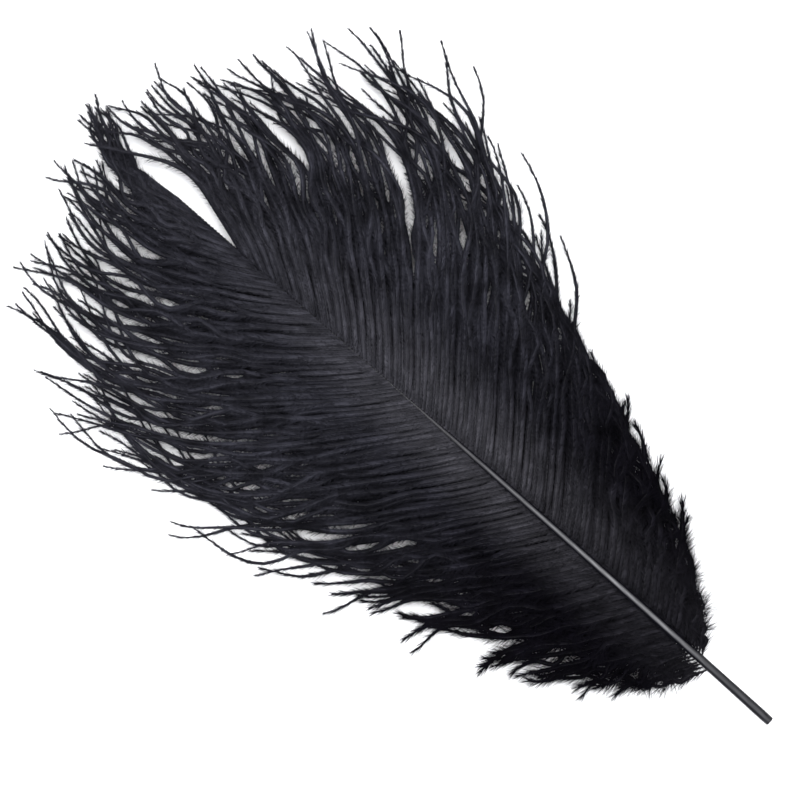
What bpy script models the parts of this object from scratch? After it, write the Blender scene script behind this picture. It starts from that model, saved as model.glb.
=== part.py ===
"""An ostrich feather lying on a flat surface: its shaft and the vane of loose barbs on each side.

Metres, +Z up. The feather lies along +Y, tip forwards, with its upper side up. The origin is the
middle of its outline, on the surface that it lies on.
"""

import math

import bmesh
import bpy
import numpy as np
from mathutils import Vector

# The whole feather, from the cut end of the quill to the tips of the forward barbs.
LENGTH = 0.200

# The shaft: a round quill that tapers into the rachis. Its places are fractions of LENGTH.
QUILL_RADIUS = 0.00105
RACHIS_END_RADIUS = 0.00022
SHAFT_TAPER = 0.8  # under 1 keeps the quill's width further along
RACHIS_END = 0.87  # where the rachis runs out under the forward barbs
SHAFT_BOW = 0.0030  # how far the cut end stands to the right of the line to the tip
SHAFT_RISE = 0.0065  # how far the fluff underneath lifts the middle of the shaft
SHAFT_RINGS = 26
SHAFT_SIDES = 12

# The vanes. Each row of a vane follows one barb from the shaft to its tip.
GAP = 0.0003  # kept between the shaft and the vanes
ROWS_PER_LOCK = 6
ACROSS = 6  # faces from the shaft to the edge
LOCK_NOTCH = 0.16  # how much shorter the barbs between two locks are
LOCK_SHARPNESS = 1.5  # over 1 rounds the tips of the locks
EDGE_THICKNESS = 0.0008
FLUFF_THICKNESS = 0.0036  # of the layer of barbs where it arches over the surface
LIES_FLAT_FROM = 0.6  # the share of a barb's length past which the fluff lies on the surface
CREST_LIFT = 0.0012  # how far the barbs rise above the shaft before they droop
REACH_BEFORE_BEND = 0.52  # where along its length a barb turns forwards
SHARP_EDGE = math.radians(50)  # edges that turn more than this aren't shaded smooth

# Where barbs start and end, in fractions of LENGTH, and how they leave the shaft:
# (root along the shaft, tip outwards from the midline, tip along the feather, angle in degrees).
LEFT_BARBS = [
    (0.090, 0.052, 0.125, 58.0),
    (0.130, 0.115, 0.200, 58.0),
    (0.200, 0.155, 0.330, 57.0),
    (0.300, 0.205, 0.500, 57.0),
    (0.400, 0.240, 0.680, 56.0),
    (0.480, 0.245, 0.810, 55.0),
    (0.570, 0.175, 0.905, 50.0),
    (0.660, 0.110, 0.955, 42.0),
    (0.760, 0.040, 0.990, 28.0),
    (0.860, -0.015, 1.005, 10.0),
]
RIGHT_BARBS = [
    (0.105, 0.058, 0.150, 58.0),
    (0.140, 0.110, 0.220, 58.0),
    (0.200, 0.155, 0.340, 57.0),
    (0.300, 0.215, 0.520, 57.0),
    (0.380, 0.265, 0.680, 56.0),
    (0.450, 0.290, 0.785, 55.0),
    (0.530, 0.235, 0.860, 52.0),
    (0.610, 0.165, 0.915, 45.0),
    (0.690, 0.095, 0.955, 34.0),
    (0.765, 0.035, 0.990, 21.0),
]
LEFT_LOCKS = 13
RIGHT_LOCKS = 12


def remove_everything():
    for obj in list(bpy.data.objects):
        bpy.data.objects.remove(obj, do_unlink=True)


def make_material(name, color, roughness):
    material = bpy.data.materials.new(name)
    material.use_nodes = True
    shader = material.node_tree.nodes["Principled BSDF"]
    shader.inputs["Base Color"].default_value = (*color, 1.0)
    shader.inputs["Roughness"].default_value = roughness
    shader.inputs["Metallic"].default_value = 0.0
    return material


def make_object(name, bm, material):
    bmesh.ops.recalc_face_normals(bm, faces=bm.faces)
    mesh = bpy.data.meshes.new(name)
    bm.to_mesh(mesh)
    bm.free()
    mesh.shade_smooth()
    mesh.set_sharp_from_angle(angle=SHARP_EDGE)
    mesh.materials.append(material)
    obj = bpy.data.objects.new(name, mesh)
    bpy.context.scene.collection.objects.link(obj)
    return obj


def smooth_through(stations, column, at):
    """The value at `at` of a smooth curve through one column of the stations."""
    knots = [station[0] for station in stations]
    values = [station[column] for station in stations]
    slopes = np.gradient(values, knots)
    i = int(np.clip(np.searchsorted(knots, at) - 1, 0, len(knots) - 2))
    span = knots[i + 1] - knots[i]
    t = (at - knots[i]) / span
    return float(
        (1 + 2 * t) * (1 - t) ** 2 * values[i]
        + t * (1 - t) ** 2 * span * slopes[i]
        + t * t * (3 - 2 * t) * values[i + 1]
        + t * t * (t - 1) * span * slopes[i + 1]
    )


def shaft_radius(along):
    """The radius at a fraction of LENGTH: widest at the cut end, least at the rachis's end."""
    left = max(0.0, 1 - along / RACHIS_END) ** SHAFT_TAPER
    return RACHIS_END_RADIUS + (QUILL_RADIUS - RACHIS_END_RADIUS) * left


def shaft_centre(along):
    """The middle of the shaft at a fraction of LENGTH: bowed sideways, and lifted in its middle."""
    sideways = SHAFT_BOW * (1 - along**2)
    height = shaft_radius(along) + SHAFT_RISE * math.sin(math.pi * along)
    return Vector((sideways, along * LENGTH, height))


def make_shaft(material):
    """Rings extruded along the shaft's middle line, from the cut quill to a rounded end."""
    bm = bmesh.new()
    facing_forwards = Vector((0, 0, 1)).rotation_difference(Vector((0, 1, 0))).to_matrix()
    disc = bmesh.ops.create_circle(bm, segments=SHAFT_SIDES, radius=shaft_radius(0))
    bmesh.ops.rotate(bm, verts=disc["verts"], matrix=facing_forwards)
    bmesh.ops.translate(bm, verts=disc["verts"], vec=shaft_centre(0))
    rim = bm.edges[:]
    for ring in range(1, SHAFT_RINGS + 1):
        before = RACHIS_END * (ring - 1) / SHAFT_RINGS
        here = RACHIS_END * ring / SHAFT_RINGS
        share = shaft_radius(here) / shaft_radius(before)
        moved = bmesh.ops.extrude_edge_only(bm, edges=rim)["geom"]
        rim = [item for item in moved if isinstance(item, bmesh.types.BMEdge)]
        for vert in moved:
            if isinstance(vert, bmesh.types.BMVert):
                vert.co = shaft_centre(here) + (vert.co - shaft_centre(before)) * share
    bmesh.ops.holes_fill(bm, edges=bm.edges, sides=SHAFT_SIDES)
    return make_object("shaft", bm, material)


def barb_point(stations, side, locks, root, share):
    """The upper surface of a vane at a share of the way along the barb that starts at `root`."""
    first, last = stations[0][0], stations[-1][0]
    phase = (root - first) / (last - first) * locks % 1.0
    length_left = 1 - LOCK_NOTCH * abs(2 * phase - 1) ** LOCK_SHARPNESS
    start = shaft_centre(root)
    start.x += side * (shaft_radius(root) + GAP)
    tip = Vector(
        (
            side * smooth_through(stations, 1, root) * LENGTH,
            smooth_through(stations, 2, root) * LENGTH,
            EDGE_THICKNESS,
        )
    )
    angle = math.radians(smooth_through(stations, 3, root))
    reach = REACH_BEFORE_BEND * (tip - start).length
    bend = start + Vector((side * math.sin(angle), math.cos(angle), 0)) * reach
    bend.z = start.z + CREST_LIFT
    t = share * length_left
    return (1 - t) ** 2 * start + 2 * t * (1 - t) * bend + t * t * tip


def make_vane(name, stations, side, locks, material):
    """A grid whose rows follow the barbs, given the fluff's thickness down to the surface below."""
    rows = locks * ROWS_PER_LOCK
    first, last = stations[0][0], stations[-1][0]
    bm = bmesh.new()
    bmesh.ops.create_grid(bm, x_segments=ACROSS, y_segments=rows, size=0.5)
    copied = bmesh.ops.extrude_face_region(bm, geom=bm.faces[:], use_keep_orig=True)["geom"]
    lower = {item for item in copied if isinstance(item, bmesh.types.BMVert)}
    for vert in bm.verts:
        share = vert.co.x + 0.5
        root = first + (last - first) * (vert.co.y + 0.5)
        vert.co = barb_point(stations, side, locks, root, share)
        if vert in lower and share < LIES_FLAT_FROM:
            vert.co.z = max(0.0, vert.co.z - FLUFF_THICKNESS)
        elif vert in lower:
            vert.co.z = 0.0
    return make_object(name, bm, material)


def set_down_in_the_middle(objects):
    """Moves the meshes together, so that the origin is under the middle of the whole outline."""
    corners = np.array([vert.co for obj in objects for vert in obj.data.vertices])
    low, high = corners.min(axis=0), corners.max(axis=0)
    offset = Vector((-(low[0] + high[0]) / 2, -(low[1] + high[1]) / 2, -low[2]))
    for obj in objects:
        for vert in obj.data.vertices:
            vert.co += offset


remove_everything()
horn = make_material("dyed_shaft", (0.035, 0.035, 0.040), 0.35)
barbs = make_material("dyed_barbs", (0.010, 0.010, 0.013), 0.65)
set_down_in_the_middle(
    [
        make_shaft(horn),
        make_vane("left_vane", LEFT_BARBS, -1, LEFT_LOCKS, barbs),
        make_vane("right_vane", RIGHT_BARBS, 1, RIGHT_LOCKS, barbs),
    ]
)
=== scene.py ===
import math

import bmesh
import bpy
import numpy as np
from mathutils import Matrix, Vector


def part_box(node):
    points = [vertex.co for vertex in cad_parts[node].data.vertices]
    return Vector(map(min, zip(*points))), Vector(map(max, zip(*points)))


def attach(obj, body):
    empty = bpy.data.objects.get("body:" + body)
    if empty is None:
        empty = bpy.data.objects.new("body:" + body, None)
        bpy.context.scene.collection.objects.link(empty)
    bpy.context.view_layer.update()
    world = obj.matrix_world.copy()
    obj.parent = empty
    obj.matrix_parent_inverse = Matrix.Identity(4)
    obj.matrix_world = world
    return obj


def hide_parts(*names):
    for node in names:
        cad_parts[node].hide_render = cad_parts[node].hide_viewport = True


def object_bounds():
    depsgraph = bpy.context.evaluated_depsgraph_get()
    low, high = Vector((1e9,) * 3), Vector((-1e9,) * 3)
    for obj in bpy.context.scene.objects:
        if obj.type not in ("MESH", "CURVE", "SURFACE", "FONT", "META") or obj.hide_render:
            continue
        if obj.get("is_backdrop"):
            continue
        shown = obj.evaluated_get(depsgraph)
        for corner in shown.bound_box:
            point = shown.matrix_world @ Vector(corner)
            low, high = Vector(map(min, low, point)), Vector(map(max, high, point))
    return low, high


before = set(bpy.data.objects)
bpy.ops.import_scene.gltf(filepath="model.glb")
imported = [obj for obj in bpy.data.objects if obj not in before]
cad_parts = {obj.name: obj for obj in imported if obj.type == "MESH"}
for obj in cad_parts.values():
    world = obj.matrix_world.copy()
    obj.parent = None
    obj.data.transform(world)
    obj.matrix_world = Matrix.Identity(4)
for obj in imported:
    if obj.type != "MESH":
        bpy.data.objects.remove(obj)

# %% [markdown]
# # A black ostrich feather
# The frame holds three plain solids: the shaft, and the fluff on its left and on its right. This
# lesson replaces each of them with what the real feather is made of. A shaft of horn carries a few
# hundred loose barbs, and each barb carries hundreds of barbules, finer than hair. A bird's other
# feathers have tiny hooks that zip the barbs into a flat blade. An ostrich's have none, so the
# barbs hang free, gather in wisps and end in a soft, ragged edge.

MM = 1000.0  # in a metre, for what the cells print

cad_low, cad_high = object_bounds()
print("the frame measures", [round(side * MM, 1) for side in cad_high - cad_low], "mm")

# %% [markdown]
# ## The curve of the shaft
# Everything grows from the shaft, so its middle line comes first. It is the one that the frame's
# solid was made with: thickest at the cut end, bowed a little to one side, and lifted in its middle
# by the fluff under it. Places along the feather are shares of its length, from 0 at the cut end to
# 1 at the tip. The functions take whole arrays of places, because later cells ask for thousands.

# %% Name the shaft's sizes
LENGTH = 0.200  # from the cut end of the quill to the tips of the forward barbs
QUILL_RADIUS = 0.00105
RACHIS_END_RADIUS = 0.00022
SHAFT_TAPER = 0.8
RACHIS_END = 0.87
SHAFT_BOW = 0.0030
SHAFT_RISE = 0.0065

shaft_low, shaft_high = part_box("shaft")
MIDLINE = shaft_high.x - QUILL_RADIUS - SHAFT_BOW
CUT_END = shaft_low.y
print("the midline is", round(MIDLINE * MM, 1), "mm off the middle of the frame")


# %% Write the shaft's middle line and thickness
def shaft_radius(along):
    left = np.clip(1 - np.asarray(along) / RACHIS_END, 0, 1) ** SHAFT_TAPER
    return RACHIS_END_RADIUS + (QUILL_RADIUS - RACHIS_END_RADIUS) * left


def shaft_centre(along):
    along = np.asarray(along, float)
    sideways = MIDLINE + SHAFT_BOW * (1 - along**2)
    height = shaft_radius(along) + SHAFT_RISE * np.sin(math.pi * along)
    return np.stack([sideways, CUT_END + along * LENGTH, height], axis=-1)


print("the quill is", round(2 * MM * float(shaft_radius(0)), 2), "mm thick at its cut end")

# %% [markdown]
# ## The camera and the light
# The feather lies down, and the camera looks straight down on it from far off through a long lens,
# turned so that the tip points to the upper left. A black thing shows its shape only by what it
# mirrors, so the surroundings are nearly white, and the lights are large and soft.

# %% Set up the camera
TIP_LEANS_LEFT = math.radians(47.88)
LENS = 100.0
SENSOR = 36.0
VIEW_WIDTH = 0.1752
VIEW_MIDDLE = Vector((-0.0031, 0.0069, 0.0))
NEAREST_SEEN, FURTHEST_SEEN = 0.01, 10.0

camera_data = bpy.data.cameras.new("camera")
camera_data.lens = LENS
camera_data.sensor_width = SENSOR
camera_data.clip_start = NEAREST_SEEN
camera_data.clip_end = FURTHEST_SEEN
camera = bpy.data.objects.new("camera", camera_data)
camera.location = VIEW_MIDDLE + Vector((0, 0, VIEW_WIDTH * LENS / SENSOR))
camera.rotation_euler = (0.0, 0.0, -TIP_LEANS_LEFT)
bpy.context.scene.collection.objects.link(camera)
bpy.context.scene.camera = camera
print("the camera hangs", round(camera.location.z, 2), "m above the feather")

# %% Add the soft lights
SOFTBOXES = {  # each one's place, size and power in watts
    "softbox_overhead": ((0.10, 0.15, 0.90), 0.45, 9.0),
    "softbox_left": ((-0.80, 0.20, 0.45), 0.50, 5.0),
    "softbox_right": ((0.75, -0.35, 0.40), 0.50, 4.0),
}
SURROUNDINGS = (0.95, 0.96, 1.0, 1.0)
SURROUNDINGS_STRENGTH = 0.85

for name, (place, size, power) in SOFTBOXES.items():
    light = bpy.data.lights.new(name, "AREA")
    light.size = size
    light.energy = power
    lamp = bpy.data.objects.new(name, light)
    lamp.location = place
    lamp.rotation_euler = (-Vector(place)).to_track_quat("-Z", "Y").to_euler()
    bpy.context.scene.collection.objects.link(lamp)

world = bpy.data.worlds.new("studio")
world.use_nodes = True
world.node_tree.nodes["Background"].inputs["Color"].default_value = SURROUNDINGS
world.node_tree.nodes["Background"].inputs["Strength"].default_value = SURROUNDINGS_STRENGTH
bpy.context.scene.world = world
bpy.context.scene.view_settings.view_transform = "Standard"
print(len(SOFTBOXES), "softboxes face the feather")

# %% [markdown]
# ## Small helpers for materials
# Each finish is a Principled BSDF fed by a few nodes. `add_node` makes one node and sets its inputs,
# so that a finish reads as a list of what feeds what. The others wrap the few kinds of node that
# every finish here needs: sums, smooth changes, ramps of grey and mixed colours.


# %% Write the helpers that make nodes
def new_material(name, roughness=0.5):
    material = bpy.data.materials.new(name)
    material.use_nodes = True
    shader = material.node_tree.nodes["Principled BSDF"]
    shader.inputs["Roughness"].default_value = roughness
    return material, material.node_tree, shader


def feed(tree, socket, value):
    """Links a socket to another node's output, or sets it to a number or colour."""
    if isinstance(value, bpy.types.NodeSocket):
        tree.links.new(value, socket)
    else:
        socket.default_value = value


def add_node(tree, kind, **inputs):
    node = tree.nodes.new(kind)
    for label, value in inputs.items():
        feed(tree, node.inputs[label.replace("_", " ")], value)
    return node


# %% Write the helpers for numbers and colours
def calculate(tree, operation, first, second=0.0):
    node = tree.nodes.new("ShaderNodeMath")
    node.operation = operation
    feed(tree, node.inputs[0], first)
    feed(tree, node.inputs[1], second)
    return node.outputs["Value"]


def smooth_change(tree, value, low, high, to_low=0.0, to_high=1.0):
    """to_low up to `low`, to_high from `high` on, and a smooth change between them."""
    node = add_node(
        tree,
        "ShaderNodeMapRange",
        Value=value,
        From_Min=low,
        From_Max=high,
        To_Min=to_low,
        To_Max=to_high,
    )
    node.interpolation_type = "SMOOTHSTEP"
    return node.outputs["Result"]


def add_ramp(tree, factor, stops):
    """A change of grey through (place, grey) stops."""
    node = add_node(tree, "ShaderNodeValToRGB", Fac=factor)
    elements = node.color_ramp.elements
    elements[0].position = stops[0][0]
    elements[-1].position = stops[-1][0]
    for place, _ in stops[1:-1]:
        elements.new(place)
    for element, (_, grey) in zip(elements, stops):
        element.color = (grey, grey, grey, 1.0)
    return node.outputs["Color"]


def mix_colors(tree, factor, first, second, blend="MIX"):
    node = tree.nodes.new("ShaderNodeMix")
    node.data_type = "RGBA"
    node.blend_type = blend
    for label, value in (("Factor", factor), ("A", first), ("B", second)):
        socket = [item for item in node.inputs if item.name == label and item.enabled][0]
        feed(tree, socket, (*value, 1.0) if isinstance(value, tuple) else value)
    return [item for item in node.outputs if item.enabled][0]


# %% [markdown]
# ## The floor
# The feather lies on a plain white sheet, wide enough to have no edge in any view.

# %% Lay the floor
FLOOR_SIZE = 4.0
FLOOR_COLOR = (0.93, 0.93, 0.94, 1.0)

floor_bm = bmesh.new()
bmesh.ops.create_grid(floor_bm, x_segments=1, y_segments=1, size=FLOOR_SIZE / 2)
floor_mesh = bpy.data.meshes.new("floor")
floor_bm.to_mesh(floor_mesh)
floor_bm.free()
floor = bpy.data.objects.new("floor", floor_mesh)
bpy.context.scene.collection.objects.link(floor)
floor_material, floor_tree, floor_shader = new_material("pale_floor", roughness=0.9)
floor_shader.inputs["Base Color"].default_value = FLOOR_COLOR
floor_mesh.materials.append(floor_material)
floor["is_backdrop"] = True
print("the floor is", FLOOR_SIZE, "m wide")

# %% [markdown]
# ## Where the barbs grow and end
# A barb leaves the shaft at an angle and then turns towards the tip. That is a curve with three
# controls: its root on the shaft, a bend, and its tip. Drawing hundreds of such curves by hand would
# take days, and moving one would mean moving its neighbours. The tips trace the feather's outline,
# though, so a short list of stations for each side is all the shape that the vane needs, and a
# smooth curve through the list gives every barb in between.

# %% List the stations of each side
# (root along the shaft, tip outwards from the midline, tip along the feather, leaving angle)
LEFT_BARBS = [
    (0.090, 0.052, 0.125, 58.0),
    (0.130, 0.115, 0.200, 58.0),
    (0.200, 0.155, 0.330, 57.0),
    (0.300, 0.205, 0.500, 57.0),
    (0.400, 0.240, 0.680, 56.0),
    (0.480, 0.245, 0.810, 55.0),
    (0.570, 0.175, 0.905, 50.0),
    (0.660, 0.110, 0.955, 42.0),
    (0.760, 0.040, 0.990, 28.0),
    (0.860, -0.015, 1.005, 10.0),
]
RIGHT_BARBS = [
    (0.105, 0.058, 0.150, 58.0),
    (0.140, 0.110, 0.220, 58.0),
    (0.200, 0.155, 0.340, 57.0),
    (0.300, 0.215, 0.520, 57.0),
    (0.380, 0.265, 0.680, 56.0),
    (0.450, 0.290, 0.785, 55.0),
    (0.530, 0.235, 0.860, 52.0),
    (0.610, 0.165, 0.915, 45.0),
    (0.690, 0.095, 0.955, 34.0),
    (0.765, 0.035, 0.990, 21.0),
]


def smooth_through(stations, column, at):
    """The values at `at` of a smooth curve through one column of the stations."""
    table = np.array(stations)
    knots, values = table[:, 0], table[:, column]
    slopes = np.gradient(values, knots)
    i = np.clip(np.searchsorted(knots, at) - 1, 0, len(knots) - 2)
    span = knots[i + 1] - knots[i]
    t = (at - knots[i]) / span
    return (
        (1 + 2 * t) * (1 - t) ** 2 * values[i]
        + t * (1 - t) ** 2 * span * slopes[i]
        + t * t * (3 - 2 * t) * values[i + 1]
        + t * t * (t - 1) * span * slopes[i + 1]
    )


widest = max(station[1] for station in LEFT_BARBS) + max(station[1] for station in RIGHT_BARBS)
print("the feather is about", round(widest * LENGTH * MM), "mm wide")

# %% Bend a barb from its root to its tip
STEPS = 22  # straight pieces that a barb's curve is drawn with
SHARES = np.linspace(0, 1, STEPS + 1)[None, :]  # of the way from a barb's root to its tip
COVER_AT = (0.36, 0.58)  # where the barbs' roots climb over the shaft and hide it
ROOT_CLIMB = math.radians(72)
ROOT_DEPTH = 0.9  # of the shaft's radius, so that a root starts under its skin
EDGE_HEIGHT = 0.0012
CREST_LIFT = 0.0016
REACH_BEFORE_BEND = 0.52


def ease(low, high, at):
    """0 up to low, 1 from high on, and an even slope without corners between them."""
    t = np.clip((at - low) / (high - low), 0, 1)
    return t * t * (3 - 2 * t)


def barb_curves(stations, side, roots, reach):
    """Points (barb, step, xyz): curves from `roots` that run `reach` times their full length."""
    climb = ease(*COVER_AT, roots) * ROOT_CLIMB
    radius = shaft_radius(roots) * ROOT_DEPTH
    start = shaft_centre(roots)
    start[:, 0] += side * radius * np.cos(climb)
    start[:, 2] += radius * np.sin(climb)
    outwards = MIDLINE + side * smooth_through(stations, 1, roots) * LENGTH
    along = CUT_END + smooth_through(stations, 2, roots) * LENGTH
    tip = np.stack([outwards, along, np.full(len(roots), EDGE_HEIGHT)], axis=-1)
    angle = np.radians(smooth_through(stations, 3, roots))
    length = np.linalg.norm(tip - start, axis=1)
    heading = np.stack([side * np.sin(angle), np.cos(angle), np.zeros(len(roots))], axis=-1)
    bend = start + heading * (REACH_BEFORE_BEND * length)[:, None]
    bend[:, 2] = start[:, 2] + CREST_LIFT
    t = SHARES[:, :, None] * reach[:, None, None]
    a, b, c = start[:, None, :], bend[:, None, :], tip[:, None, :]
    return (1 - t) ** 2 * a + 2 * t * (1 - t) * b + t * t * c


# %% [markdown]
# ## Gathering the barbs in wisps
# Combed barbs lie side by side near the shaft. Further out nothing holds them apart, and three or
# four at a time cling together in a wisp. Each wisp has a middle curve, and its barbs are drawn to
# it as they go out. A few loose barbs stay where they are and fill the gaps. Neighbouring wisps
# swap barbs at random, which makes them cross, and the down at the base never gathers.

# %% Plant the roots and number the wisps
BARBS_A_SIDE = 190
CROWDING = 0.13  # how much closer together the barbs stand half-way up the shaft
ROOT_JITTER = 0.0005
BARBS_A_WISP = 3.6
BARBS_ASTRAY = 1.0  # how many places a barb may be from its own wisp


def plant_roots(stations, rng):
    """The places of one side's roots along the shaft, in order but not quite even."""
    first, last = stations[0][0], stations[-1][0]
    u = np.linspace(0, 1, BARBS_A_SIDE)
    crowded = u + CROWDING * np.sin(2 * math.pi * u) / (2 * math.pi)
    roots = first + (last - first) * crowded
    return np.clip(roots + rng.normal(0, ROOT_JITTER, BARBS_A_SIDE), first, last)


def number_wisps(rng):
    """The number of the wisp that each barb belongs to."""
    misplaced = np.arange(BARBS_A_SIDE) + rng.normal(0, BARBS_ASTRAY, BARBS_A_SIDE)
    wisp = np.clip(misplaced / BARBS_A_WISP, 0, BARBS_A_SIDE).astype(int)
    return np.unique(wisp, return_inverse=True)[1]


print("a side has", BARBS_A_SIDE, "barbs in about", round(BARBS_A_SIDE / BARBS_A_WISP), "wisps")

# %% Draw the barbs in to their wisps
WISP_REACH = (0.94, 1.04)  # the least and the most
BARB_REACH = (0.88, 1.04)
WISP_HOLD = (0.60, 0.97)  # how nearly a barb comes to its wisp's middle curve
LOOSE_SHARE = 0.26
LOOSE_HOLD = 0.2
DRAWN_AT = (0.58, 0.92)  # where along a barb its wisp draws it in
WISPS_AT = (0.12, 0.40)  # where along the shaft the down gives way to wisps


def gathering(roots):
    """How far each barb takes part in wisps: 0 in the down at the base, 1 from the middle on."""
    return ease(*WISPS_AT, roots)[:, None]


def draw_in(stations, side, roots, wisp, rng):
    """The curves of one side's barbs, drawn to the middle curves of their wisps."""
    wisps = wisp.max() + 1
    middle = np.bincount(wisp, roots) / np.bincount(wisp)
    reach = rng.uniform(*WISP_REACH, wisps)[wisp] * rng.uniform(*BARB_REACH, BARBS_A_SIDE)
    own = barb_curves(stations, side, roots, reach)
    shared = barb_curves(stations, side, middle[wisp], reach)
    hold = rng.uniform(*WISP_HOLD, wisps)[wisp]
    hold *= np.where(rng.random(BARBS_A_SIDE) < LOOSE_SHARE, LOOSE_HOLD, 1.0)
    drawn = hold[:, None] * ease(*DRAWN_AT, SHARES) * gathering(roots)
    return own + (shared - own) * drawn[..., None]


# %% [markdown]
# ## Letting the barbs sway
# No strand is straight. Every deviation here is a distance to the side, so they are simply added
# up. A wisp leans and swings as one, so that its barbs wander together, and each barb adds a lean,
# a swing and a fine tangle of its own. Most are shares of the barb's length: long barbs wave more.
# A name that ends in _AT is a stretch, of the shaft or of a barb, over which something comes in. One
# that ends in _LATE says how much of a bend waits for the barb's tip.

# %% Sway each wisp as one
WISPS_A_LOCK = 4.5  # a lock is several wisps that lean together
WISP_LEAN, LOCK_LEAN = 0.022, 0.010
CALM, LIVELIER_AT = 0.4, (0.15, 0.30)
RESTLESS, RESTLESS_AT = 0.9, (0.58, 0.75)
WISP_SWING, WISP_SWINGS = 0.032, (0.3, 1.0)
WISP_TURNS = (0.7, 1.5)
LEAN_LATE, SWING_LATE = 2.5, 2.2


def wave(turns, phase):
    return np.sin(2 * math.pi * turns * SHARES + phase)


def sway_of_wisps(roots, wisp, length, rng):
    wisps = wisp.max() + 1
    lock = (wisp / WISPS_A_LOCK).astype(int)
    lean = rng.normal(0, WISP_LEAN, wisps)[wisp] + rng.normal(0, LOCK_LEAN, lock.max() + 1)[lock]
    lean *= CALM + (1 - CALM) * ease(*LIVELIER_AT, roots)
    lean *= 1 + RESTLESS * ease(*RESTLESS_AT, roots)
    swing = rng.uniform(*WISP_SWINGS, wisps)[wisp][:, None] * WISP_SWING
    turns = rng.uniform(*WISP_TURNS, wisps)[wisp][:, None]
    phase = rng.uniform(0, 2 * math.pi, wisps)[wisp][:, None]
    swinging = swing * SHARES**SWING_LATE * wave(turns, phase)
    return length * (lean[:, None] * SHARES**LEAN_LATE + swinging)


# %% Sway each barb by itself
OWN_LEAN, OWN_LEAN_AT = 0.015, (0.45, 1.0)
FANNED, FANNED_AT = 1.6, (0.50, 0.75)  # how much more they lean apart at the feather's tip
OWN_SWING, OWN_SWING_LATE = 0.011, 1.7
OWN_TURNS = (0.8, 1.9)
TANGLE = 0.0009  # a fine wave, in metres, which grows along a barb and dies down near its tip
TANGLE_TURNS = (2.0, 4.5)
TANGLE_GROWS_AT, TANGLE_DIES_AT = (0.10, 0.50), (0.60, 0.90)
TANGLE_DIES_BY = 0.7
TANGLED_DOWN, NEATER_AT = 0.25, (0.12, 0.30)


def sway_of_barbs(roots, length, rng):
    count = len(roots)
    lean = rng.normal(0, OWN_LEAN, count) * (1 + FANNED * ease(*FANNED_AT, roots))
    sway = lean[:, None] * length * ease(*OWN_LEAN_AT, SHARES) * gathering(roots)
    swing = rng.normal(0, OWN_SWING, count)[:, None] * length
    turns = rng.uniform(*OWN_TURNS, count)[:, None]
    phase = rng.uniform(0, 2 * math.pi, count)[:, None]
    sway += swing * SHARES**OWN_SWING_LATE * wave(turns, phase)
    tangle = rng.normal(0, TANGLE, count)
    tangle *= 1 + TANGLED_DOWN * (1 - ease(*NEATER_AT, roots))
    turns = rng.uniform(*TANGLE_TURNS, count)[:, None]
    phase = rng.uniform(0, 2 * math.pi, count)[:, None]
    strength = 1 - TANGLE_DIES_BY * ease(*TANGLE_DIES_AT, SHARES)
    strength = strength * ease(*TANGLE_GROWS_AT, SHARES)
    return sway + tangle[:, None] * strength * wave(turns, phase)


# %% [markdown]
# ## Shaping the tips
# The outline gets its character from what the tips do. The barbs of a wisp fork apart near their
# ends and hook at random. The whole edge bellies out and then curls inwards, towards the feather's
# tip. At the very tip the shaft has run out and the two sides part, and some barbs of each side
# cross that parting. A few strays stand away from all the others.

# %% Fork, belly, curl, hook and cross
WISP_WIDTH, WIDTH_AT = 0.0004, (0.4, 0.7)
FORK, FORK_AT, FORK_LATE = 0.050, (0.74, 1.0), 1.5
BELLY, BELLY_AT = 0.040, (0.20, 0.75)
CURL, CURL_AT, CURL_LATE = 0.085, (0.60, 1.05), 2
CURL_INWARDS, CURL_OF_WISPS, CURL_OF_BARBS = -1.1, 0.8, 0.5
STRAIGHTER, STRAIGHTER_AT = 0.7, (0.60, 0.75)
HOOK, HOOK_AT, HOOK_LATE = 0.045, (0.80, 1.04), 1.5
CROSSING, CROSSING_ROOTS_AT = 0.11, (0.68, 0.76)
CROSSING_AT, CROSSING_LATE = (0.36, 1.0), 1.2
STRAY_SHARE = 0.07
STRAY_LEAN, STRAY_SPREAD, STRAY_AT = 0.05, 0.05, (0.35, 1.0)


def sway_of_tips(side, roots, wisp, length, rng):
    count = len(roots)
    place = rng.uniform(-1, 1, count)[:, None]  # across the wisp
    sway = WISP_WIDTH * place * ease(*WIDTH_AT, SHARES)
    sway = sway + FORK * length * place * ease(*FORK_AT, SHARES) ** FORK_LATE
    curl = rng.normal(CURL_INWARDS, CURL_OF_WISPS, wisp.max() + 1)[wisp][:, None]
    curl = curl + rng.normal(0, CURL_OF_BARBS, count)[:, None]
    rounded = gathering(roots) * (1 - STRAIGHTER * ease(*STRAIGHTER_AT, roots))[:, None]
    sway += side * BELLY * length * rounded * ease(*BELLY_AT, SHARES)
    sway += side * CURL * length * rounded * curl * ease(*CURL_AT, SHARES) ** CURL_LATE
    hook = rng.normal(0, 1.0, count)[:, None]
    sway += HOOK * length * hook * ease(*HOOK_AT, SHARES) ** HOOK_LATE
    crossing = np.abs(rng.normal(0, CROSSING, count)) * ease(*CROSSING_ROOTS_AT, roots)
    sway -= side * crossing[:, None] * length * ease(*CROSSING_AT, SHARES) ** CROSSING_LATE
    astray = (rng.random(count) < STRAY_SHARE)[:, None]
    stray_lean = rng.normal(STRAY_LEAN, STRAY_SPREAD, count)[:, None] * length
    return sway + side * astray * stray_lean * ease(*STRAY_AT, SHARES)


# %% Lift the barbs over and under each other
LAYERS, LAYERS_FLATNESS = 0.0012, 0.8
WEAVE, WEAVE_AT, WEAVE_TURNS = 0.0005, (0.10, 0.40), 2.5
WISP_LIFT, WISP_LIFT_AT = 0.0013, (0.55, 1.0)
LEAST_HEIGHT = 0.0004


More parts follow.
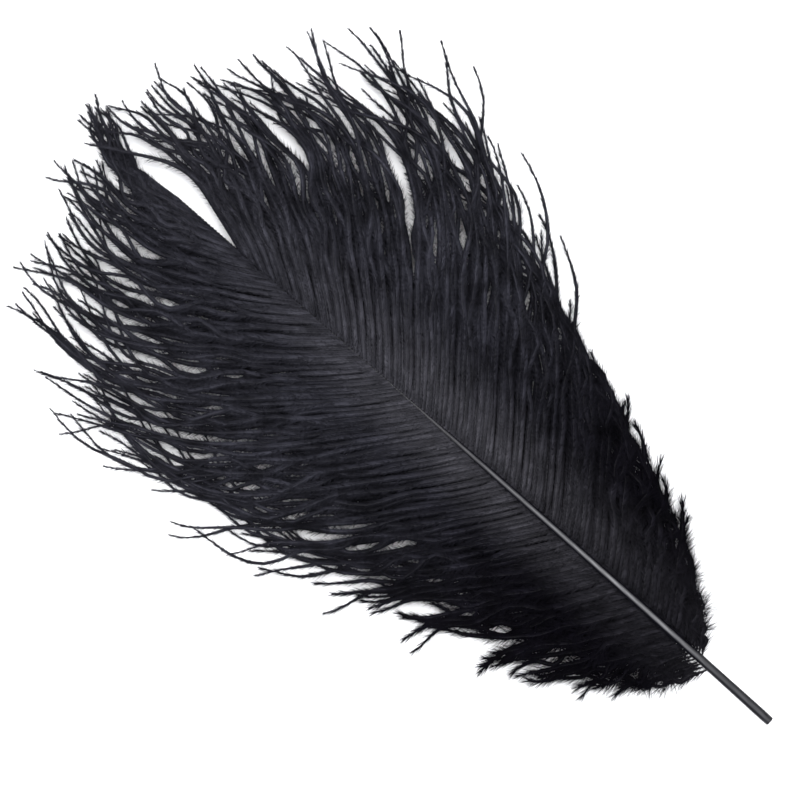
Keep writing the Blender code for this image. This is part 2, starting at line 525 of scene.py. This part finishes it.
def heights(wisp, rng):
    """How far each barb lies above or below its curve, which gives the fluff its depth."""
    count = len(wisp)
    layer = rng.uniform(-1, 1, count)[:, None]
    height = LAYERS * layer * np.sin(math.pi * SHARES) ** LAYERS_FLATNESS
    weave_phase = rng.uniform(0, 2 * math.pi, count)[:, None]
    height = height + WEAVE * wave(WEAVE_TURNS, weave_phase) * ease(*WEAVE_AT, SHARES)
    lift = np.abs(rng.normal(0, WISP_LIFT, wisp.max() + 1))[wisp][:, None]
    return height + lift * ease(*WISP_LIFT_AT, SHARES)


# %% [markdown]
# ## Growing the two sides
# The steps come together here. Each side has a random generator of its own with a fixed seed, so
# the same feather grows every time. The sway is laid across each curve, level with the floor.

# %% Grow one side's barbs
TINY = 1e-9  # keeps a direction of no length from being divided by nothing


def sideways_of(curves):
    """The direction across each curve, level with the floor."""
    along = np.gradient(curves, axis=1)
    across = np.stack([along[..., 1], -along[..., 0], np.zeros(along.shape[:2])], axis=-1)
    return across / np.maximum(np.linalg.norm(across, axis=-1, keepdims=True), TINY)


def grow_barbs(stations, side, seed):
    """Every barb of one side as points (barb, step, xyz)."""
    rng = np.random.default_rng(seed)
    roots = plant_roots(stations, rng)
    wisp = number_wisps(rng)
    curves = draw_in(stations, side, roots, wisp, rng)
    length = np.linalg.norm(curves[:, -1] - curves[:, 0], axis=1)[:, None]
    sway = sway_of_wisps(roots, wisp, length, rng)
    sway = sway + sway_of_barbs(roots, length, rng)
    sway = sway + sway_of_tips(side, roots, wisp, length, rng)
    curves = curves + sideways_of(curves) * sway[..., None]
    curves[..., 2] = np.maximum(curves[..., 2] + heights(wisp, rng), LEAST_HEIGHT)
    return curves


def lengths_of(curves):
    return np.linalg.norm(np.diff(curves, axis=1), axis=2).sum(axis=1)


left_barbs = grow_barbs(LEFT_BARBS, -1, seed=11)
right_barbs = grow_barbs(RIGHT_BARBS, 1, seed=12)
shortest, longest = lengths_of(left_barbs).min() * MM, lengths_of(left_barbs).max() * MM
print("the left barbs are", round(shortest), "to", round(longest), "mm long")

# %% [markdown]
# ## From curves to meshes
# Thousands of small shapes are too many for single objects. One pattern is modelled with bmesh and
# read into arrays, the arrays are bent and copied along the curves, and one mesh is filled with the
# result. Each barb owns a narrow strip of its mesh's UV map, root at the bottom and tip at the top,
# so that a material can shade it along its length and tell it from its neighbours.

# %% Read a pattern, and fill a mesh from arrays
STRIP_FILLED = 0.4  # how far each way from its middle a barb's strip of the map is used
MAP_MARGIN = 0.02
MAP_TILT = 0.01


def pattern_of(bm):
    """Vertices and triangles of a bmesh as arrays."""
    bmesh.ops.triangulate(bm, faces=bm.faces)
    bmesh.ops.recalc_face_normals(bm, faces=bm.faces)
    bm.verts.index_update()
    verts = np.array([vert.co for vert in bm.verts])
    faces = np.array([[vert.index for vert in face.verts] for face in bm.faces])
    bm.free()
    return verts, faces


def link_object(name, mesh, material):
    mesh.shade_smooth()
    mesh.materials.append(material)
    obj = bpy.data.objects.new(name, mesh)
    bpy.context.scene.collection.objects.link(obj)
    print(name, "has", len(mesh.polygons), "faces")
    return obj


def object_from_arrays(name, points, faces, uv, material):
    """An object with the pattern's faces for each copy in points and uv (copy, vertex, ...)."""
    copies, count = points.shape[:2]
    corners = (faces[None] + count * np.arange(copies)[:, None, None]).reshape(-1)
    mesh = bpy.data.meshes.new(name)
    mesh.vertices.add(copies * count)
    mesh.vertices.foreach_set("co", points.astype(np.float32).ravel())
    mesh.loops.add(len(corners))
    mesh.loops.foreach_set("vertex_index", corners.astype(np.int32))
    mesh.polygons.add(len(corners) // 3)
    mesh.polygons.foreach_set("loop_start", np.arange(0, len(corners), 3, dtype=np.int32))
    layer = mesh.uv_layers.new(name="OFBake")
    layer.uv.foreach_set("vector", uv.reshape(-1, 2)[corners].astype(np.float32).ravel())
    mesh.update(calc_edges=True)
    mesh.validate()
    return link_object(name, mesh, material)


# %% [markdown]
# ## The finish of barbs and barbules
# Dyed ostrich barbs are nearly black with a cool cast. The combed part beside the shaft mirrors the
# light and looks charcoal, and that sheen is painted into the colour as a lighter zone. The loose
# part is darker, and the down at the base is darkest, which is painted shade. These zones follow the
# feather, so they read the place on it. Every barb also took the dye a little differently, which
# reads the UV map: across it each barb has its own strip.

# %% Zone the vane
# The painted sheen of the combed part beside the shaft: how far it reaches on each side, how strong
# it is at most on the left, and where along the feather it comes in and fades.
SHEEN_LEFT, SHEEN_RIGHT = 0.011, 0.022  # how far from the shaft the combed parts reach
SHEEN_MOST = 0.6
SHEEN_FADES = (0.40, 0.85, 1.0, 0.15)  # from this share of the length to that, and how strong
SHEEN_STARTS = (0.10, 0.50, 0.25, 1.0)
# The painted shade of the down gives way to the loose colour between these shares of the length.
DOWN_SHADE_ENDS = (0.26, 0.60, 0.0, 1.0)
CLUMPS_FROM, CLUMPS_TO = 0.2 * SHEEN_RIGHT, SHEEN_RIGHT
CLUMPS_LEAST, CLUMPS_MOST = 0.15, 0.85


def change_along(tree, place, change):
    """A smooth change along the feather, between two shares of its length."""
    start, end, before, after = change
    low, high = CUT_END + start * LENGTH, CUT_END + end * LENGTH
    return smooth_change(tree, place.outputs["Y"], low, high, before, after)


def painted_sheen_share(tree, place, to_the_right):
    """How much painted sheen the barbs get: most beside the shaft, and none in the loose part."""
    near_left = smooth_change(tree, to_the_right, -SHEEN_LEFT, 0.0, 0.0, SHEEN_MOST)
    near_right = smooth_change(tree, to_the_right, 0.0, SHEEN_RIGHT, 1.0, 0.0)
    near = calculate(tree, "MINIMUM", near_left, near_right)
    faded = calculate(tree, "MULTIPLY", near, change_along(tree, place, SHEEN_FADES))
    return calculate(tree, "MULTIPLY", faded, change_along(tree, place, SHEEN_STARTS))


# %% Dye the barbs
FIBRE_SCALE = (2400.0, 1500.0, 1500.0)
FIBRE_DETAIL = 2.0
FIBRE_BUMP, FIBRE_HEIGHT = 0.5, 0.0003
STRIP_SCALE = (160.0, 9.0, 1.0)
STRIP_DETAIL = 3.0
STRIP_SHADES = [(0.30, 0.38), (0.70, 1.80)]
CLUMP_SCALE, CLUMP_DETAIL = 170.0, 2.0
CLUMP_SHADES = [(0.35, 0.50), (0.65, 1.40)]
LESS_ROUGH, MORE_ROUGH = 0.10, 0.12
NOISE_LOW, NOISE_HIGH = 0.3, 0.7  # between which nearly all of a noise's values lie


def noise_on(tree, vector, scale, detail):
    stretched = add_node(tree, "ShaderNodeMapping", Vector=vector, Scale=scale)
    spread = stretched.outputs["Vector"]
    return add_node(tree, "ShaderNodeTexNoise", Vector=spread, Scale=1.0, Detail=detail)


def own_map(tree):
    uv = tree.nodes.new("ShaderNodeUVMap")
    uv.uv_map = "OFBake"
    return uv.outputs["UV"]


def make_barb_material(name, painted_sheen, loose, shaded_down, roughness, specular):
    """A dyed fibre: lighter near the shaft, which is a painted sheen, `loose` further out, and
    darkest at the base, which is painted shade.
    """
    material, tree, shader = new_material(name)
    places = tree.nodes.new("ShaderNodeTexCoord").outputs["Object"]
    place = add_node(tree, "ShaderNodeSeparateXYZ", Vector=places)
    to_the_right = calculate(tree, "SUBTRACT", place.outputs["X"], MIDLINE)
    off_middle = calculate(tree, "ABSOLUTE", to_the_right)
    # The dark down at the base is painted shade.
    body = mix_colors(tree, change_along(tree, place, DOWN_SHADE_ENDS), shaded_down, loose)
    # The lighter zone beside the shaft is a painted sheen.
    base = mix_colors(tree, painted_sheen_share(tree, place, to_the_right), body, painted_sheen)
    mottle = noise_on(tree, own_map(tree), STRIP_SCALE, STRIP_DETAIL).outputs["Fac"]
    color = mix_colors(tree, 1.0, base, add_ramp(tree, mottle, STRIP_SHADES), "MULTIPLY")
    clumps = add_node(
        tree, "ShaderNodeTexNoise", Vector=places, Scale=CLUMP_SCALE, Detail=CLUMP_DETAIL
    )
    clump_shade = add_ramp(tree, clumps.outputs["Fac"], CLUMP_SHADES)
    clumping = smooth_change(
        tree, off_middle, CLUMPS_FROM, CLUMPS_TO, CLUMPS_LEAST, CLUMPS_MOST
    )
    color = mix_colors(tree, clumping, color, clump_shade, "MULTIPLY")
    feed(tree, shader.inputs["Base Color"], color)
    least, most = roughness - LESS_ROUGH, roughness + MORE_ROUGH
    gloss = smooth_change(tree, mottle, NOISE_LOW, NOISE_HIGH, least, most)
    feed(tree, shader.inputs["Roughness"], gloss)
    fuzz = noise_on(tree, places, FIBRE_SCALE, FIBRE_DETAIL).outputs["Fac"]
    bump = add_node(
        tree, "ShaderNodeBump", Height=fuzz, Strength=FIBRE_BUMP, Distance=FIBRE_HEIGHT
    )
    feed(tree, shader.inputs["Normal"], bump.outputs["Normal"])
    shader.inputs["Specular IOR Level"].default_value = specular
    return material


# %% Mix the two finishes
# In both finishes the colour beside the shaft is a painted sheen and the colour of the down painted
# shade.
stem_finish = make_barb_material(
    "dyed_barb_stems",
    painted_sheen=(0.047, 0.046, 0.052),
    loose=(0.019, 0.019, 0.025),
    shaded_down=(0.003, 0.0026, 0.0045),
    roughness=0.45,
    specular=0.09,
)
down_finish = make_barb_material(
    "dyed_barbules",
    painted_sheen=(0.040, 0.039, 0.045),
    loose=(0.0155, 0.0155, 0.0205),
    shaded_down=(0.0024, 0.0021, 0.0037),
    roughness=0.60,
    specular=0.03,
)
print("the stems and the barbules are dyed")

# %% [markdown]
# ## The stems of the barbs
# A barb's stem is a rod about 0.3 mm thick, which narrows at its tip. Curve objects with a bevel
# would do for a few of them. For hundreds it is faster to make one square tube with as many rings
# as a barb's curve has points, and to place a copy of each ring on each curve.

# %% Make the pattern of a tube
TUBE_SIDES = 4


def make_tube_pattern():
    """A closed tube of unit radius along Z, one unit between rings, and each vertex's ring."""
    bm = bmesh.new()
    bmesh.ops.create_circle(bm, segments=TUBE_SIDES, radius=1.0)
    rim = bm.edges[:]
    for _ in range(STEPS):
        moved = bmesh.ops.extrude_edge_only(bm, edges=rim)["geom"]
        rim = [item for item in moved if isinstance(item, bmesh.types.BMEdge)]
        verts = [item for item in moved if isinstance(item, bmesh.types.BMVert)]
        bmesh.ops.translate(bm, verts=verts, vec=(0, 0, 1))
    bmesh.ops.holes_fill(bm, edges=bm.edges, sides=TUBE_SIDES)
    verts, faces = pattern_of(bm)
    return verts, faces, verts[:, 2].round().astype(int)


def frames_along(curves):
    """The unit directions along, across and up at each point of each curve."""
    along = np.gradient(curves, axis=1)
    along /= np.maximum(np.linalg.norm(along, axis=-1, keepdims=True), TINY)
    across = np.cross(along, (0.0, 0.0, 1.0))
    across /= np.maximum(np.linalg.norm(across, axis=-1, keepdims=True), TINY)
    return along, across, np.cross(across, along)


def strips_of(barb, across, barbs):
    """The place across the map for each vertex of each barb."""
    return (barb[:, None] + 0.5 + STRIP_FILLED * across[None, :]) / barbs


def map_of_tubes(verts, share, barbs):
    """A strip of the map for each tube. Rings are tilted on it, so that the ends have an area."""
    strip = strips_of(np.arange(barbs), verts[:, 0], barbs)
    rise = MAP_MARGIN + (1 - 2 * MAP_MARGIN) * share + MAP_TILT * verts[:, 1]
    return np.stack([strip, np.broadcast_to(rise, strip.shape)], axis=-1)


# %% Make the stems
STEM_RADIUS = 0.00015
STEM_NARROWS, STEM_NARROWS_AT = 0.6, (0.88, 1.0)


def make_stems(name, curves, material):
    verts, faces, ring = make_tube_pattern()
    _, across, up = frames_along(curves)
    share = ring / STEPS
    radius = STEM_RADIUS * (1 - STEM_NARROWS * ease(*STEM_NARROWS_AT, share))
    points = (
        curves[:, ring]
        + across[:, ring] * (verts[:, 0] * radius)[None, :, None]
        + up[:, ring] * (verts[:, 1] * radius)[None, :, None]
    )
    uv = map_of_tubes(verts, share, len(curves))
    return object_from_arrays(name, points, faces, uv, material)


left_stems = make_stems("left_stems", left_barbs, stem_finish)
right_stems = make_stems("right_stems", right_barbs, stem_finish)

# %% [markdown]
# ## The felt beside each stem
# The roots of the barbules stand so close that they felt into a soft strip along both sides of the
# stem. The strips overlap like roof tiles, which is why no floor shows through the combed part of
# the vane. Growing that felt from single barbules would take millions of them, so a strip is the
# same tube as the stem's, flattened, tilted, and narrowed towards its tip. The strips are widest in
# the down, and the very first ones start narrow, where the fluff begins.

# %% Make the felts
FELT_THICKNESS = 0.00006
FELT_TILT = math.radians(16)
FELT_HALF_WIDTH = 0.00065
FELT_SWELLS, FELT_SWELLS_AT = 0.00010, (0.0, 0.12)
FELT_THINS, FELT_THINS_AT = 0.00038, (0.30, 0.75)
FELT_NARROWS, FELT_NARROWS_AT = 0.75, (0.80, 1.0)
WIDER_IN_DOWN, DOWN_COMES_AT, DOWN_GOES_AT = 0.5, (0.11, 0.15), (0.22, 0.34)
FIRST_NARROWER, FIRST_AT, FIRST_WIDEN_AT = 0.75, (0.10, 0.15), (0.0, 0.35)
LEAST_CLEARANCE = 0.0001  # kept between the fluff and the floor


def rooted_at(curves):
    """Where along the shaft each barb is rooted."""
    return (curves[:, 0, 1] - CUT_END) / LENGTH


def felt_half_width(roots, share):
    """Half the width (barb, vertex) of each barb's felt at a share of the way to its tip."""
    half = FELT_HALF_WIDTH + FELT_SWELLS * ease(*FELT_SWELLS_AT, share)
    half = half - FELT_THINS * ease(*FELT_THINS_AT, share)
    half = half * (1 - FELT_NARROWS * ease(*FELT_NARROWS_AT, share))
    in_down = ease(*DOWN_COMES_AT, roots) * (1 - ease(*DOWN_GOES_AT, roots))
    first_ones = (1 - ease(*FIRST_AT, roots))[:, None]
    narrower = 1 - FIRST_NARROWER * first_ones * (1 - ease(*FIRST_WIDEN_AT, share))
    return half * (1 + WIDER_IN_DOWN * in_down)[:, None] * narrower


def make_felts(name, curves, material):
    verts, faces, ring = make_tube_pattern()
    _, across, up = frames_along(curves)
    share = ring / STEPS
    half = felt_half_width(rooted_at(curves), share)
    cos, sin = math.cos(FELT_TILT), math.sin(FELT_TILT)
    points = (
        curves[:, ring]
        + (across[:, ring] * cos + up[:, ring] * sin) * (verts[:, 0] * half)[..., None]
        + (up[:, ring] * cos - across[:, ring] * sin) * (verts[:, 1] * FELT_THICKNESS)[:, None]
    )
    points[..., 2] = np.maximum(points[..., 2], LEAST_CLEARANCE)
    uv = map_of_tubes(verts, share, len(curves))
    return object_from_arrays(name, points, faces, uv, material)


left_felts = make_felts("left_felts", left_barbs, down_finish)
right_felts = make_felts("right_felts", right_barbs, down_finish)

# %% [markdown]
# ## The barbules
# Hair particles would draw barbules well, but they aren't a mesh, and a part that is shared has to
# be one. So each barbule is a slim three-sided spike. They sit along both sides of each barb, swept
# towards its tip. Near its middle they are long and stand well out, so that neighbouring barbs felt
# together; towards the tip they are short and lie close, so that a strand ends in a point. In the
# down at the base they are more than twice as long, which makes it fluffy.

# %% Make the pattern of a barbule
BARBULE_SPACING = 0.000224
BARBULE_RADIUS = 0.000085
BARBULE_SIDES = 3
ENDS_MERGE = 1e-4  # joins what the cone leaves in one place at its point


def make_spike_pattern():
    """A closed spike of unit length along Z, with a base of unit radius."""
    bm = bmesh.new()
    bmesh.ops.create_cone(
        bm, cap_ends=True, segments=BARBULE_SIDES, radius1=1.0, radius2=0.0, depth=1.0
    )
    bmesh.ops.remove_doubles(bm, verts=bm.verts, dist=ENDS_MERGE)
    bmesh.ops.translate(bm, verts=bm.verts, vec=(0, 0, 0.5))
    return pattern_of(bm)


def read_along(values, barb, s):
    """values (barb, step, xyz) read at shares s of the way along the barbs."""
    at = s * STEPS
    low = np.minimum(at.astype(int), STEPS - 1)
    part = (at - low)[:, None]
    return values[barb, low] * (1 - part) + values[barb, low + 1] * part


# %% Set where the barbules stand, and how they lie
FIRST_ONE, LAST_ONE = 0.004, 0.995  # of the way along the barb
TIP_SHARE, TIP_FROM = 0.14, 0.8  # some of them are crowded into the barb's last fifth
SWEEP, SWEEP_SPREAD = 32, 8  # degrees away from the barb
SWEEP_OPENS, SWEEP_OPENS_AT = 10, (0.1, 0.4)
SWEEP_CLOSES, SWEEP_CLOSES_AT = 28, (0.5, 0.9)
TILT, TILT_SPREAD = 12, 30  # degrees up from the plane of the vane
BARBULE_LENGTH, BARBULE_VARIES = 0.0013, (0.7, 1.2)
LONGER_BY, LONGER_AT = 0.0010, (0.02, 0.35)
SHORTER_BY, SHORTER_AT = 0.0005, (0.60, 0.9)
SHORTEST_BY, SHORTEST_AT = 0.0006, (0.94, 1.0)
DOWN_LENGTH, DOWN_SHORTENS_AT = 2.2, (0.14, 0.38)


def scatter(counts, rng):
    """Each barbule's share of the way along its barb, some of them crowded near the tip."""
    s = rng.uniform(FIRST_ONE, LAST_ONE, counts.sum())
    at_tip = rng.random(len(s)) < TIP_SHARE
    return np.where(at_tip, TIP_FROM + (LAST_ONE - TIP_FROM) * s, s)


def unit(vectors):
    return vectors / np.linalg.norm(vectors, axis=1, keepdims=True)


def pointing(along, across, up, s, rng):
    """The direction of each barbule, swept towards the barb's tip and a little up or down."""
    hand = rng.choice((-1.0, 1.0), len(s))
    sweep = SWEEP + SWEEP_OPENS * ease(*SWEEP_OPENS_AT, s)
    sweep = sweep - SWEEP_CLOSES * ease(*SWEEP_CLOSES_AT, s)
    sweep = np.radians(sweep + rng.normal(0, SWEEP_SPREAD, len(s)))[:, None]
    tilt = np.radians(rng.normal(TILT, TILT_SPREAD, len(s)))
    out = across * (hand * np.cos(tilt))[:, None] + up * np.sin(tilt)[:, None]
    return unit(along * np.cos(sweep) + out * np.sin(sweep))


def barbule_length(s, roots, rng):
    length = BARBULE_LENGTH + LONGER_BY * ease(*LONGER_AT, s)
    length = length - SHORTER_BY * ease(*SHORTER_AT, s) - SHORTEST_BY * ease(*SHORTEST_AT, s)
    in_down = DOWN_LENGTH + (1 - DOWN_LENGTH) * ease(*DOWN_SHORTENS_AT, roots)
    return length * rng.uniform(*BARBULE_VARIES, len(s)) * in_down


# %% Make the barbules
THINNER_AT_TIP = 0.15
BARB_RISE = 0.95  # how far up the map a barb's barbules are rooted
BARBULE_RISE = 0.03  # how far a barbule climbs the map from its root to its point


def map_of_barbules(verts, barb, s, barbs):
    """A barbule's place on the map: in its barb's strip, beside the place where it stands."""
    strip = strips_of(barb, verts[:, 0], barbs)
    own_rise = MAP_TILT * verts[None, :, 1] + BARBULE_RISE * verts[None, :, 2]
    rise = MAP_TILT + BARB_RISE * s[:, None] + own_rise
    return np.stack([strip, np.clip(rise, 0, 1)], axis=-1)


def make_barbules(name, curves, material, seed):
    rng = np.random.default_rng(seed)
    verts, faces = make_spike_pattern()
    counts = (2 * lengths_of(curves) / BARBULE_SPACING).astype(int)
    barb = np.repeat(np.arange(len(curves)), counts)
    s = scatter(counts, rng)
    along, across, up = (read_along(axis, barb, s) for axis in frames_along(curves))
    point = pointing(along, across, up, s, rng)
    wide = unit(np.cross(point, up))
    deep = np.cross(point, wide)
    radius = (BARBULE_RADIUS * (1 - THINNER_AT_TIP * s**2))[:, None, None]
    length = barbule_length(s, rooted_at(curves)[barb], rng)[:, None, None]
    points = (
        read_along(curves, barb, s)[:, None]
        + wide[:, None] * radius * verts[None, :, 0, None]
        + deep[:, None] * radius * verts[None, :, 1, None]
        + point[:, None] * length * verts[None, :, 2, None]
    )
    points[..., 2] = np.maximum(points[..., 2], LEAST_CLEARANCE)
    uv = map_of_barbules(verts, barb, s, len(curves))
    return object_from_arrays(name, points, faces, uv, material)


# %% Cover both sides, a quarter at a time
PARTS = ("base", "lower", "upper", "tip")
SEEDS = {"left": 107, "right": 108}
SEED_STEP = 100


def cover(side_name, curves):
    """A side's barbules in four pieces, because one would be too large."""
    made = []
    for number, part in enumerate(np.array_split(curves, len(PARTS))):
        name = f"{side_name}_barbules_{PARTS[number]}"
        seed = SEEDS[side_name] + SEED_STEP * number
        made.append(make_barbules(name, part, down_finish, seed))
    return made


left_barbules = cover("left", left_barbs)
right_barbules = cover("right", right_barbs)

# %% Put the two sides in place of the frame's solids
for node, pieces in (
    ("left_vane", [left_stems, left_felts, *left_barbules]),
    ("right_vane", [right_stems, right_felts, *right_barbules]),
):
    for piece in pieces:
        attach(piece, "root")
        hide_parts(node)
    print(len(pieces), "pieces stand for", node)

# %% [markdown]
# ## The shaft
# The bare quill is a horny tube, cut straight, so its hollow shows at the end. From the first barbs
# on it is the rachis: filled, tapering, and grooved along its underside. A bevelled curve would be
# round and closed all the way, so it is one tube of rings instead, each with its own outline. It
# starts deep inside the hollow, comes out over the cut edge, and runs on to the rachis's end.

# %% Work out the shaft's rings
SHAFT_SIDES = 16
SHAFT_RINGS = 64
HOLLOW_DEPTH = 0.0040
WALL = 0.30  # of the quill's radius
WORN_DEPTH, WORN_WALL, WORN_EDGE = 0.0003, 0.8, 0.96  # the cut edge isn't quite sharp
CLOSING = 0.05  # of the radius, for the small ring that closes an end
INSIDE = [  # (how deep, share of the radius)
    (HOLLOW_DEPTH, CLOSING),
    (HOLLOW_DEPTH, 1 - WALL),
    (WORN_DEPTH, 1 - WALL),
    (0.0, 1 - WORN_WALL * WALL),
]
GROOVE_DEPTH, GROOVE_AT = 0.45, (0.09, 0.14)  # of the rachis's radius
GROOVE_WIDTH = math.radians(38)


def shaft_rings():
    """The points (ring, side, xyz) of the shaft, from inside the hollow to the rachis's end."""
    inside = np.array(INSIDE)
    outside = np.linspace(0, RACHIS_END, SHAFT_RINGS)
    along = np.concatenate([inside[:, 0] / LENGTH, outside, [RACHIS_END]])
    scale = np.concatenate([inside[:, 1], [WORN_EDGE], np.ones(SHAFT_RINGS - 1), [CLOSING]])
    angle = np.linspace(0, 2 * math.pi, SHAFT_SIDES, endpoint=False)
    under = np.exp(-(((angle - math.pi) / GROOVE_WIDTH) ** 2))
    grooved = ease(*GROOVE_AT, along)[:, None] * GROOVE_DEPTH * under[None]
    radius = (shaft_radius(along) * scale)[:, None] * (1 - grooved)
    aside = np.array([1.0, 0.0, 0.0]) * (radius * np.sin(angle))[..., None]
    upward = np.array([0.0, 0.0, 1.0]) * (radius * np.cos(angle))[..., None]
    return shaft_centre(along)[:, None] + aside + upward


# %% Extrude the shaft ring by ring
SHAFT_TILT = 0.008  # up the map, between the shaft's two sides


def extrude_ring(bm, edges, ring):
    """Extrudes an open ring: its new edges, and its new vertices in the old ones' order."""
    moved = bmesh.ops.extrude_edge_only(bm, edges=edges)["geom"]
    new_edges = [item for item in moved if isinstance(item, bmesh.types.BMEdge)]
    number = {vert: place for place, vert in enumerate(ring)}
    new_ring = [None] * len(ring)
    for vert in (item for item in moved if isinstance(item, bmesh.types.BMVert)):
        partners = [edge.other_vert(vert) for edge in vert.link_edges]
        old = [partner for partner in partners if partner in number][0]
        new_ring[number[old]] = vert
    return new_edges, new_ring


def spot_on_map(ring, number, rings):
    """Across the map: underside to top. Up the map: cut end to tip, tilted to give ends an area."""
    top = abs(1 - 2 * number / SHAFT_SIDES)
    tilted = SHAFT_TILT if number > SHAFT_SIDES / 2 else -SHAFT_TILT
    used = 1 - 2 * MAP_MARGIN
    return MAP_MARGIN + used * top, MAP_MARGIN + used * ring / (rings - 1) + tilted


def make_shaft(name, material):
    points = shaft_rings()
    bm = bmesh.new()
    ring = bmesh.ops.create_circle(bm, segments=SHAFT_SIDES, radius=1.0)["verts"]
    edges = bm.edges[:]
    rings = [ring]
    for _ in range(len(points) - 1):
        edges, ring = extrude_ring(bm, edges, ring)
        rings.append(ring)
    bmesh.ops.holes_fill(bm, edges=bm.edges, sides=SHAFT_SIDES)
    spots = {}
    for i, verts in enumerate(rings):
        for number, vert in enumerate(verts):
            vert.co = points[i, number]
            spots[vert] = spot_on_map(i, number, len(rings))
    layer = bm.loops.layers.uv.new("OFBake")
    for face in bm.faces:
        for loop in face.loops:
            loop[layer].uv = spots[loop.vert]
    bmesh.ops.recalc_face_normals(bm, faces=bm.faces)
    mesh = bpy.data.meshes.new(name)
    bm.to_mesh(mesh)
    bm.free()
    return link_object(name, mesh, material)


# %% [markdown]
# ## The finish of the shaft
# Dyed horn is black. Along the ridge on top, a paler line is painted into the colour as a painted
# highlight of the glossy horn under the overhead light. It runs up the middle of the feather and
# fades out where the barbs close over the shaft. Fine streaks run along the horn. Both could be read
# from the place on the feather, but the shaft is bowed, so they are read from its own map, which
# follows the bow.

# %% Dye the horn and paint its highlight
HORN_DARK, HORN_HIGHLIGHT = (0.003, 0.003, 0.005), (0.130, 0.130, 0.135)
# The painted highlight: across the shaft it lies along the top, and along the shaft it is fainter on
# the quill and fades out towards the tip.
HIGHLIGHT_ACROSS = [(0.0, 0.0), (0.80, 0.0), (0.94, 1.0)]
HIGHLIGHT_ALONG = [
    (0.10, 0.30),
    (0.16, 0.32),
    (0.23, 0.9),
    (0.33, 1.0),
    (0.43, 0.7),
    (0.54, 0.3),
    (0.64, 0.1),
    (0.74, 0.0),
]
STREAK_SCALE = (6.0, 60.0, 1.0)
STREAK_DETAIL = 4.0
STREAK_SHADES = [(0.3, 0.7), (0.7, 1.3)]
HORN_SMOOTHEST, HORN_ROUGHEST = 0.24, 0.40
HORN_BUMP, HORN_BUMP_HEIGHT = 0.15, 0.0001
HORN_SPECULAR = 0.10


def make_horn_material():
    material, tree, shader = new_material("dyed_horn")
    uv = own_map(tree)
    spot = add_node(tree, "ShaderNodeSeparateXYZ", Vector=uv)
    highlight_across = add_ramp(tree, spot.outputs["X"], HIGHLIGHT_ACROSS)
    highlight_along = add_ramp(tree, spot.outputs["Y"], HIGHLIGHT_ALONG)
    # The pale line along the top is a painted highlight.
    base = mix_colors(tree, calculate(tree, "MULTIPLY", highlight_across, highlight_along), HORN_DARK, HORN_HIGHLIGHT)
    streaks = noise_on(tree, uv, STREAK_SCALE, STREAK_DETAIL).outputs["Fac"]
    shade = add_ramp(tree, streaks, STREAK_SHADES)
    feed(tree, shader.inputs["Base Color"], mix_colors(tree, 1.0, base, shade, "MULTIPLY"))
    gloss = smooth_change(tree, streaks, NOISE_LOW, NOISE_HIGH, HORN_SMOOTHEST, HORN_ROUGHEST)
    feed(tree, shader.inputs["Roughness"], gloss)
    bump = add_node(
        tree, "ShaderNodeBump", Height=streaks, Strength=HORN_BUMP, Distance=HORN_BUMP_HEIGHT
    )
    feed(tree, shader.inputs["Normal"], bump.outputs["Normal"])
    shader.inputs["Specular IOR Level"].default_value = HORN_SPECULAR
    return material


shaft = make_shaft("quill_and_rachis", make_horn_material())
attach(shaft, "root")
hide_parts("shaft")

# %% [markdown]
# ## The size
# The loose tips may stand a little proud of the frame's solids, but the feather has to stay the size
# that the frame gives. The last cell measures the finished model and prints how far it stands proud
# of the frame.

# %% Measure how far the model stands proud of the frame
visual_low, visual_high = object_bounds()
grown = [*(cad_low - visual_low), *(visual_high - cad_high)]
print("the model stands proud of the frame by", [round(side * MM, 1) for side in grown], "mm")
